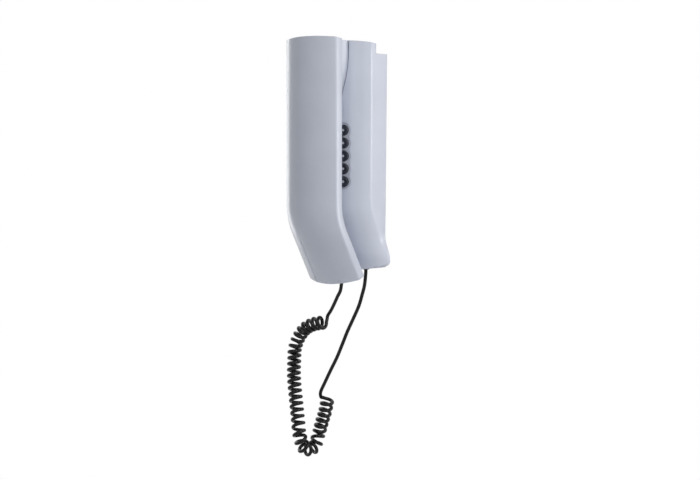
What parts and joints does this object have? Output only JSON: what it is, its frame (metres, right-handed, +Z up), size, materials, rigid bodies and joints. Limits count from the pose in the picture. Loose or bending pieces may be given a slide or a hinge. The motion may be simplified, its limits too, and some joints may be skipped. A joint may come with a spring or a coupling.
{
  "type": "wall intercom with handset",
  "caption": "Slim wall intercom: a curved handset hangs in a barrel-shaped cradle with a column of call keys and a curly cord.",
  "frame": {"origin": "on the wall, midway between the two wall screws", "axes": "+X to the right of someone facing the unit, +Y into the wall, +Z up"},
  "size_m": [0.0964, 0.069, 0.3734],
  "materials": {
    "shell": "semi-gloss cool white",
    "trim": "satin grey",
    "key": "glossy blue-black",
    "rubber": "matte",
    "cord": "glossy black sheath",
    "metal": "zinc plated",
    "board": "lacquered board",
    "dark_plastic": "satin",
    "terminal": "satin"
  },
  "bodies": {
    "base": {"base_housing": "shell", "rear_plate": "shell", "key_bezel": "trim", "key_mat": "rubber", "key_board": "board", "key_board_screws": "metal", "main_board": "board", "board_screws": "metal", "hook_pin": "metal", "hook_spring": "metal", "hook_switch": "dark_plastic", "ringer": "dark_plastic", "terminal_block": "terminal", "terminal_screws": "metal", "capacitors": "dark_plastic", "line_chip": "dark_plastic", "cover_screw": "metal", "base_cord_gland": "rubber", "cord_handset_tail": "cord", "cord_coil": "cord", "cord_base_tail": "cord"},
    "handset": {"handset_front_shell": "shell", "handset_rear_shell": "shell", "earpiece_capsule": "trim", "earpiece_gasket": "rubber", "microphone_capsule": "metal", "microphone_boot": "rubber", "handset_screws": "metal", "handset_cord_gland": "rubber"},
    "hook": {"hook_lever": "dark_plastic"},
    "key_1": {"key_1": "key"},
    "key_2": {"key_2": "key"},
    "key_3": {"key_3": "key"},
    "key_4": {"key_4": "key"},
    "key_5": {"key_5": "key"}
  },
  "joints": [
    {"name": "handset_lift", "type": "slide", "parent": "base", "child": "handset", "axis": [0, -0.8192, 0.5736], "range_m": [0, 0.07]},
    {"name": "hook_swing", "type": "hinge", "parent": "base", "child": "hook", "pos_m": [0, -0.0241, 0.06], "axis": [1, 0, 0], "range_deg": [0, 13]},
    {"name": "key_1_press", "type": "slide", "parent": "base", "child": "key_1", "axis": [-0.3787, 0.9255, 0], "range_m": [0, 0.0012], "stiffness_N_per_m": 400},
    {"name": "key_2_press", "type": "slide", "parent": "base", "child": "key_2", "axis": [-0.3787, 0.9255, 0], "range_m": [0, 0.0012], "stiffness_N_per_m": 400},
    {"name": "key_3_press", "type": "slide", "parent": "base", "child": "key_3", "axis": [-0.3787, 0.9255, 0], "range_m": [0, 0.0012], "stiffness_N_per_m": 400},
    {"name": "key_4_press", "type": "slide", "parent": "base", "child": "key_4", "axis": [-0.3787, 0.9255, 0], "range_m": [0, 0.0012], "stiffness_N_per_m": 400},
    {"name": "key_5_press", "type": "slide", "parent": "base", "child": "key_5", "axis": [-0.3787, 0.9255, 0], "range_m": [0, 0.0012], "stiffness_N_per_m": 400}
  ],
  "couplings": [
    {"joint": "hook_swing", "follows": "handset_lift", "rad_per_m": 3.2}
  ]
}
